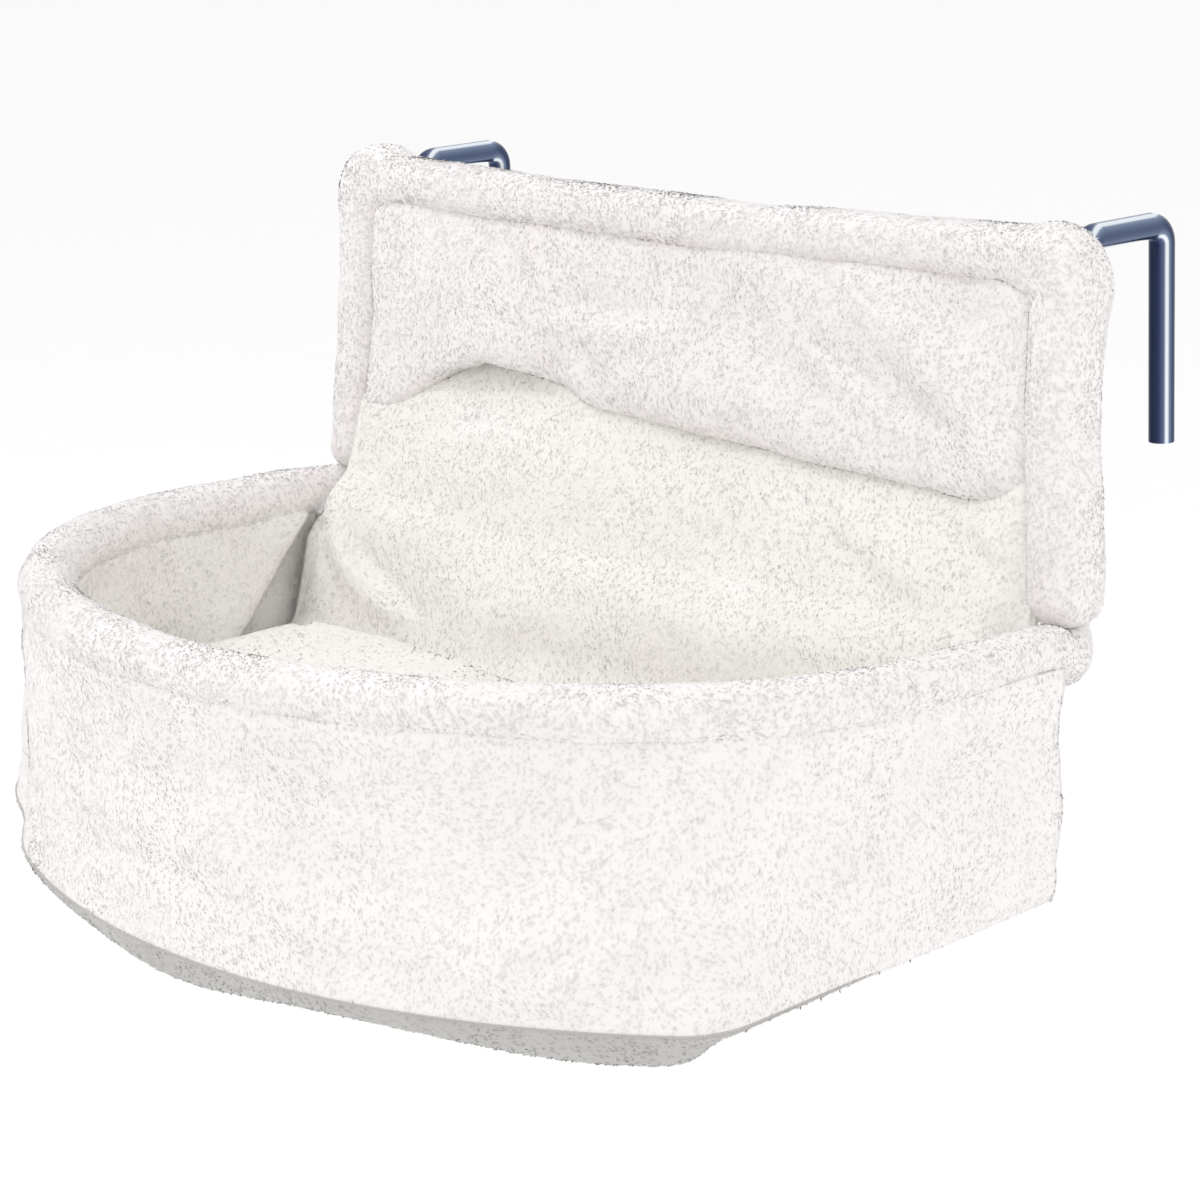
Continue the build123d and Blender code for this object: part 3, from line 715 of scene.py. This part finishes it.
# Lines on the wall by their way along the rim and down it, with width and height or reach, depth and side
WALL_DROP = 92
WALL_RIDGES = [
    ([(600, 28), (560, 50), (520, 78)], 13.0, 3.4),
    ([(250, 40), (330, 52), (420, 44)], 12.0, 2.2),
    ([(60, 50), (150, 62), (230, 56)], 12.0, 2.0),
    ([(640, 60), (700, 66), (760, 60)], 11.0, 2.2),
    ([(430, 66), (500, 72), (560, 64)], 10.0, 2.2),
    ([(200, 22), (300, 28), (380, 24)], 9.0, 1.6),
    ([(655, 12), (690, 40), (700, 70)], 14.0, 3.0),
]
WALL_CREASES = [
    ([(628, 22), (590, 44), (545, 70), (520, 84)], 8.0, 2.4, -1),
    ([(660, 4), (652, 30)], 5.0, 2.0, 1),
    ([(700, 4), (694, 24)], 5.0, 1.8, 1),
    ([(100, 30), (160, 40), (240, 38)], 8.0, 1.4, 1),
    ([(300, 70), (380, 66), (450, 74)], 8.0, 1.3, 1),
    ([(640, 3), (634, 22)], 4.0, 1.6, 1),
    ([(680, 3), (676, 26)], 4.0, 1.6, -1),
]


def outer_wall():
    top, foot, out, share = wall_lines(350)
    v = np.array([0, 0.02, 0.06, 0.14, 0.3, 0.5, 0.7, 0.85, 0.94, 0.985, 1.0])
    push = np.array([6.5, 8.8, 8.8, 6.4, 2.0, -0.6, -1.4, -1.2, -0.8, -0.4, -1.5])
    drop = np.array([5.0, 3.6, 4.0, 4.0, 3.4, 2.6, 1.6, 0.8, 0.4, 0, 0])
    t = np.interp(np.linspace(0, 1, 46), np.linspace(0, 1, len(v)), np.arange(len(v)))
    v, push, drop = (np.interp(t, np.arange(len(q)), q) for q in (v, push, drop))
    p = top[None] * (1 - v)[:, None, None] + foot[None] * v[:, None, None]
    left = hump(v, 0.3, 0.28)[:, None] * hump(share, 0.27, 0.14)[None]
    right = hump(v, 0.6, 0.35)[:, None] * ease(0.86, 0.97, share)[None]
    p = p + out[None] * (push[:, None] + 3.0 * left + 8.0 * right)[..., None]
    p[..., 2] -= drop[:, None]
    p = softened(p, 1)
    up = grid_normals(p)
    up = up * np.sign((up * out[None]).sum(-1, keepdims=True).mean())
    run = share * WALL_RUN
    flat = np.stack([np.broadcast_to(run[None], p.shape[:2]), v[:, None] * WALL_DROP + 0 * run[None]], -1)
    wave = np.concatenate([flat, np.zeros((*flat.shape[:2], 1))], -1)
    lump = 1.3 * cloud(wave, (120, 34, 50), 51, 3) + 0.5 * noise(p, FINE_CELL, 54)
    lump = lump + ridges(flat, WALL_RIDGES) + creases(flat, WALL_CREASES)
    fade = ease(0, 0.1, v) * ease(1, 0.9, v)
    p = p + up * (lump * fade[:, None])[..., None]
    sheet_piece("plush_wall", p, up, WALL_CLOTH, plush_outer, "plush_outer", "basket",
                ["outer_wall", "wall_wadding"], seed=7, nap=(0, 0, -1), tufts=32000)


def lining_fold(v, run):
    """How far the lining stands out along the fold beside each back corner."""
    behind = (6 + 52 * v)[:, None] - run[None]
    recess = (0.8 + 2.2 * ease(0.15, 0.6, v))[:, None]
    crest, width = 5.5, 15.0
    fold = np.where(behind > 0, -recess * (1 - np.exp(-np.maximum(behind, 0) / 5.0)), 0)
    fold = fold + crest * np.exp(-((np.minimum(behind, 0) + 3) / width) ** 2) * (behind <= 0)
    fold = fold + crest * np.exp(-(3 / width) ** 2) * np.exp(-np.maximum(behind, 0) / 2.0) * (behind > 0)
    return fold * ease(0, 0.08, v)[:, None]


def wall_lining():
    top, foot, out, share = wall_lines(420)
    v = np.linspace(0, 1, 34)
    push = np.interp(v, [0, 0.05, 0.15, 0.5, 1], [-6.0, -9.0, -9.5, -10.0, -12.0])
    down = (0.73 * v)[:, None, None]
    p = top[None] * (1 - down) + foot[None] * down
    p = p + out[None] * push[:, None, None]
    p[..., 2] -= 3.0 * (1 - v)[:, None]
    run = np.minimum(share, 1 - share) * WALL_RUN
    fold = lining_fold(v, run)
    wave = np.stack(np.broadcast_arrays((share * WALL_RUN)[None], v[:, None] * 70, 0 * fold), -1)
    lump = 1.3 * cloud(wave, (90, 40, 50), 61, 3) + 0.5 * noise(p, FINE_CELL, 64)
    lump = lump * (ease(0, 0.1, v) * ease(1, 0.9, v))[:, None]
    p = p - out[None] * (lump + fold)[..., None]
    up = grid_normals(p)
    up = -up * np.sign((up * out[None]).sum(-1).mean())
    sheet_piece("plush_lining", p, up, LINING_CLOTH, plush_inner, "plush_inner", "basket", ["wall_lining"],
                seed=8, nap=(0, 0, -1), tufts=28000)


# The sagging bottom and the floor cushion

def sag(inset, front):
    """How far the bottom hangs below its seam, steeply behind the front edge."""
    steep = np.interp(inset, [0, 3, 8.5, 28, 55, 75, 95], [0, 5, 10.5, 19.5, 25.2, 27, 27.4])
    slow = np.interp(inset, [0, 12, 35, 60, 80, 95], [0, 1.5, 11, 21, 26, 27.4])
    return front * steep + (1 - front) * slow


def closing_quads(first, cols, flip):
    """Quads across a folded outline, from one half of a row to the other."""
    i = np.arange(cols // 2 - 1)
    q = np.stack([first + i, first + i + 1, first + cols - 2 - i, first + cols - 1 - i], 1)
    return q[:, ::-1] if flip else q


def closed_dish(p, q):
    """A closed sheet from two grids of rings, each closed at its last ring's middle."""
    rows, cols = p.shape[:2]
    n = rows * cols + 1
    points = np.concatenate([p.reshape(-1, 3), p[-1].mean(0)[None], q.reshape(-1, 3), q[-1].mean(0)[None]])
    c = np.arange(cols)
    d = (c + 1) % cols
    last = (rows - 1) * cols
    middle = np.full(cols, n - 1)
    quads = np.concatenate([
        grid_quads(rows, cols, wrap=True), grid_quads(rows, cols, wrap=True, flip=True, offset=n),
        np.stack([d, c, c + n, d + n], 1),
    ])
    tris = np.concatenate([
        np.stack([last + c, last + d, middle], 1), np.stack([last + d + n, last + c + n, middle + n], 1),
    ])
    return points, quads, tris


def bottom_ring(inset):
    """The bottom's seam drawn in by an inset, closed across the back and sagging."""
    line = seam_line(320, max(inset, 0), back=SEAM_BACK_Y - max(0, inset))
    share = np.linspace(0, 1, 102)[1:-1, None]
    line = np.concatenate([line, line[-1] * (1 - share) + line[0] * share])
    x, y = line[:, 0], line[:, 1]
    way = unit(np.roll(line, -1, 0) - np.roll(line, 1, 0))
    front = ease(0.15, 0.6, np.abs(way[:, 0])) * ease(236, 195, np.abs(x - 4)) * ease(-150, -220, y)
    front = softened(front[:, None], 10)[:, 0]
    more = 3.5 * hump(x, -15, 45) - 2.2 * hump(x, 95, 40) + 3.2 * hump(x, 185, 40)
    line[:, 2] -= sag(max(inset, 0), front) + more * front * ease(0, 9, inset) - (1.5 if inset < 0 else 0)
    return line


def bottom_cloth():
    insets = np.concatenate([np.linspace(-1.0, 12, 12), np.linspace(15, 50, 14)])
    rows = [bottom_ring(inset) for inset in insets]
    edge = rows[-1]
    middle = np.array([0, -185.0, edge[:, 2].mean() - 2.5])
    shrink = np.linspace(0.94, 0.08, 22)
    for share in shrink:
        ring = middle + (edge - middle) * share
        ring[:, 2] = middle[2] + (edge[:, 2] - middle[2]) * share ** 1.6
        rows.append(ring)
    p = softened(np.stack(rows), 2)
    lump = 1.3 * cloud(p, (60, 60, 60), 71, 2) + 0.5 * noise(p, FINE_CELL, 74)
    p[..., 2] += lump * ease(0, 20, np.concatenate([insets, 50 + 0 * shrink]))[:, None]
    up = grid_normals(p, wrap=True)
    up = up * -np.sign(up[..., 2].mean())
    points, quads, tris = closed_dish(p, p - up * BOTTOM_CLOTH)
    count = (p.shape[0] - 1) * p.shape[1]
    obj = furred("plush_bottom", points, quads, tris, np.arange(count),
                 count=27000, nap=(0, -1, 0), seed=9)
    # the bottom cloth takes the darker plush with its painted shade
    dress(obj, plush_painted_shade, "plush_outer", "basket", "bottom_cloth")


def mesh_points(mesh):
    """The mesh's points in millimetres."""
    co = np.zeros(len(mesh.vertices) * 3)
    mesh.vertices.foreach_get("co", co)
    return co.reshape(-1, 3) / MM


PUFF_VOXEL = 5.0
PUFF_PRESSURE = 4.0
PUFF_CAP = 3.0
PUFF_FRAMES = 20


def blown_up(obj):
    """The points that a cloth under pressure takes after its frames."""
    cloth = obj.modifiers.new("cloth", "CLOTH")
    cloth.settings.use_pressure = True
    cloth.settings.uniform_pressure_force = PUFF_PRESSURE
    cloth.settings.effector_weights.gravity = 0.0
    cloth.settings.quality = 4
    scene = bpy.context.scene
    scene.frame_start, scene.frame_end = 1, PUFF_FRAMES
    for step in range(1, PUFF_FRAMES + 1):
        scene.frame_set(step)
        graph = bpy.context.evaluated_depsgraph_get()
    end = mesh_points(obj.evaluated_get(graph).to_mesh())
    scene.frame_set(1)
    return end


def puffed(points, quads):
    """The remeshed form, swollen a little by a cloth simulation with its air pressure."""
    obj = make_mesh("puff", points, quads)
    bpy.context.view_layer.objects.active = obj
    remesh = obj.modifiers.new("remesh", "REMESH")
    remesh.mode = "VOXEL"
    remesh.voxel_size = PUFF_VOXEL * MM
    graph = bpy.context.evaluated_depsgraph_get()
    dense = bpy.data.meshes.new_from_object(obj.evaluated_get(graph))
    obj.modifiers.clear()
    obj.data = dense
    start = mesh_points(dense)
    faces = [list(f.vertices) for f in dense.polygons]
    end = blown_up(obj)
    move = end - start
    far = np.linalg.norm(move, axis=1, keepdims=True)
    end = start + move * np.minimum(1, PUFF_CAP / np.maximum(far, 1e-6))
    bpy.data.objects.remove(obj)
    four = np.array([f for f in faces if len(f) == 4], int).reshape(-1, 4)
    three = np.array([f for f in faces if len(f) == 3], int).reshape(-1, 3)
    return end, four, three


def inside_wall(points, margin):
    """The points drawn in towards the basket's middle until they clear the sloping wall."""
    top, foot, _, _ = wall_lines(240)
    middle = np.array([0, -165.0])
    flat = points[:, :2] - middle
    turn, far = np.arctan2(flat[:, 0], -flat[:, 1]), np.linalg.norm(flat, axis=1)
    foot_z, height, levels = -240, 96, 4
    level = np.clip((points[:, 2] - foot_z) / height, 0, 1) * levels
    limit = 0
    for k in range(levels + 1):
        line = (foot * (1 - k / levels) + top * k / levels)[:, :2] - middle
        edge = np.interp(turn, np.arctan2(line[:, 0], -line[:, 1]), np.linalg.norm(line, axis=1))
        limit = limit + np.clip(1 - np.abs(level - k), 0, 1) * (edge - margin)
    points[:, :2] = middle + flat * np.minimum(1, limit / np.maximum(far, 1e-6))[:, None]
    return points


# The cushion's rings, each with its inset from the seam and its drop below it
CUSHION_TOP = [(13, 3), (12, -10), (13, -28), (16, -39), (24, -45), (42, -48), (70, -49)]
CUSHION_UNDER = [(80, 13), (60, 9), (40, 2), (22, -3), (15, 0)]
CUSHION_RIDGES = [([(-190, -118), (-176, -128)], 16.0, 3.0), ([(-150, -112), (-60, -112)], 14.0, 2.5)]
CUSHION_CREASES = [([(-172, -106), (-165, -125), (-150, -150)], 8.0, 2.0, 1)]


def cushion_rings(steps):
    """The rings as rows, from the last step to the first."""
    rings = []
    for inset, drop in steps:
        line = seam_line(300, inset + 2, back=-104 - 0.55 * (inset - 13))
        line[:, 2] -= drop
        rings.append(line)
    return np.stack(rings)[::-1]


def floor_cushion():
    p = np.concatenate([cushion_rings(CUSHION_TOP), cushion_rings(CUSHION_UNDER)])
    rows, cols = p.shape[:2]
    r = np.arange(rows - 1)
    a, b = r * cols, r * cols + cols - 1
    quads = np.concatenate([
        grid_quads(rows, cols), closing_quads(0, cols, True),
        closing_quads((rows - 1) * cols, cols, False), np.stack([b, b + cols, a + cols, a], 1),
    ])
    points, quads, tris = puffed(p.reshape(-1, 3), quads)
    top = ease(-222, -200, points[:, 2])
    flat = points[:, :2]
    lump = 1.6 * cloud(points, 60.0, 91, 2) + 0.5 * noise(points, FINE_CELL, 94)
    lump = lump + ridges(flat, CUSHION_RIDGES)
    lump = lump + creases(flat, CUSHION_CREASES)
    low = 15.0 * hump(points[:, 0], -212, 42) * hump(points[:, 1], -105, 60)
    points[:, 2] += (lump - low) * top
    points = inside_wall(points, 14.0)
    obj = furred("stuffed_cushion", points, quads, tris, np.arange(len(quads)),
                 count=22000, nap=(0, -1, -0.2), seed=10)
    dress(obj, plush_inner, "plush_inner", "basket", "floor_cushion")


# The plain cloths behind

def cover_back():
    """The cover's cloth round the legs and across the panel's back."""
    side = [(214.5, 14), (209, 7), (205.5, 1), (203.8, -3), (200.5, -7), (194, -9.2), (186, -9.6)]
    path = np.array(side + [(-x, a) for x, a in side[::-1]])
    path = softened(along(path, 260), 3)
    below = np.linspace(7, 139, 70)
    dip = 3.0 * ease(60, 7, below) ** 2
    p = panel(path[None, :, 0], path[None, :, 1] + dip[:, None], below[:, None] + 0 * path[None, :, 0])
    up = -grid_normals(p)
    p = p + up * (0.7 * cloud(p, (70, 70, 30), 81, 3))[..., None]
    up = up * np.sign(up[35, 130, 1])
    plain_sheet("cover_back", p, up, "frame", "panel_rear_cloth")


def plain_sheet(name, p, up, body, node):
    """A thin closed sheet of plain cloth that is sewn on and lies stretched."""
    points, quads = shell_parts(p, p - up * PLAIN_CLOTH)
    quads, tris, normals = turned_out(points, quads, np.zeros((0, 3), int))
    obj = make_mesh(name, points, quads, tris, normals)
    dress(obj, plain_cloth, "back_cloth", body, node)


def flat_cloth(name, xs, at, body, node, seed):
    """A plain cloth whose places are given by a function of x and of the share down it."""
    p = np.stack([at(xs, v) for v in np.linspace(0, 1, 50)])
    up = grid_normals(p)
    up = up * np.sign(up[25, len(xs) // 2, 1])
    p = p + up * (0.6 * cloud(p, (60, 60, 30), seed, 3))[..., None]
    plain_sheet(name, p, up, body, node)


def flap_place(x, v):
    return panel(x, -12.2, 98 + 48 * v)


def back_cloth_place(x, v):
    return np.stack([x * (232 - 4 * v), -76.0 - 3 * v + 0 * x, -152 - 80 * v + 0 * x], -1)


tube_steel = steel_with_painted_reflection()
panel_border()
panel_face()
basket_back()
rim_sleeve()
outer_wall()
wall_lining()
bottom_cloth()
floor_cushion()
cover_back()
flat_cloth("flap_cloth", np.linspace(-193, 193, 120), flap_place,
           "frame", "rear_flap", 82)
flat_cloth("basket_back_cloth", np.linspace(-1, 1, 140), back_cloth_place,
           "basket", "back_outer_cloth", 83)

for node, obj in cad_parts.items():
    if node.startswith(("left_leg", "right_leg", "left_hook", "right_hook", "cross_bar", "rim_tube")):
        finish = tube_steel
    elif "strap" in node:
        finish = dull_steel
    elif node.startswith(("pivot", "lock")):
        finish = zinc
    elif "tape" in node:
        finish = tape_cloth
    else:
        continue
    obj.data.materials.clear()
    obj.data.materials.append(finish)

# Floor, light and camera

FLOOR_Z = -0.60
FLOOR_HALF = 60.0
corners = [(-1, -1), (1, -1), (1, 1), (-1, 1)]
floor_points = np.array([[FLOOR_HALF * x, FLOOR_HALF * y, FLOOR_Z] for x, y in corners]) / MM
floor = make_mesh("floor", floor_points, np.array([[0, 1, 2, 3]]))
floor.data.materials.append(material("floor_white", (0.985, 0.985, 0.985), (0.98, 0.98, 0.98), bump=0.0))


def area_light(name, place, aim, size, power, colour=(1, 1, 1)):
    data = bpy.data.lights.new(name, "AREA")
    data.shape = "DISK"
    data.size = size
    data.energy = power
    data.color = colour
    lamp = bpy.data.objects.new(name, data)
    bpy.context.scene.collection.objects.link(lamp)
    place, aim = np.array(place, float), np.array(aim, float)
    back = unit(place - aim)
    side = unit(np.cross([0, 0, 1.0], back))
    top = np.cross(back, side)
    lamp.matrix_world = Matrix([
        [side[0], top[0], back[0], place[0]], [side[1], top[1], back[1], place[1]],
        [side[2], top[2], back[2], place[2]], [0, 0, 0, 1],
    ])


BED_MIDDLE = (0, -0.15, -0.12)
area_light("key", (-1.3, -1.3, 2.0), BED_MIDDLE, 0.8, 12)
area_light("side", (2.2, -0.6, 0.7), BED_MIDDLE, 1.2, 3.5, (1.0, 0.96, 0.93))

world = bpy.data.worlds.new("studio")
world.use_nodes = True
world.node_tree.nodes["Background"].inputs["Color"].default_value = (1, 1, 1, 1)
world.node_tree.nodes["Background"].inputs["Strength"].default_value = 0.97
bpy.context.scene.world = world
bpy.context.scene.view_settings.view_transform = "Standard"

camera_data = bpy.data.cameras.new("camera")
camera_data.lens = 107.23
camera_data.sensor_width = 36.0
camera_data.clip_end = 300.0
camera = bpy.data.objects.new("camera", camera_data)
bpy.context.scene.collection.objects.link(camera)
right = (0.65722, 0.7528, -0.03675)
up = (-0.16393, 0.19037, 0.96793)
behind = (0.73565, -0.63012, 0.24852)
spot = (1.0751, -1.0166, 0.2110)
camera.matrix_world = Matrix([[right[k], up[k], behind[k], spot[k]] for k in range(3)] + [[0, 0, 0, 1]])
bpy.context.scene.camera = camera

bpy.context.view_layer.update()
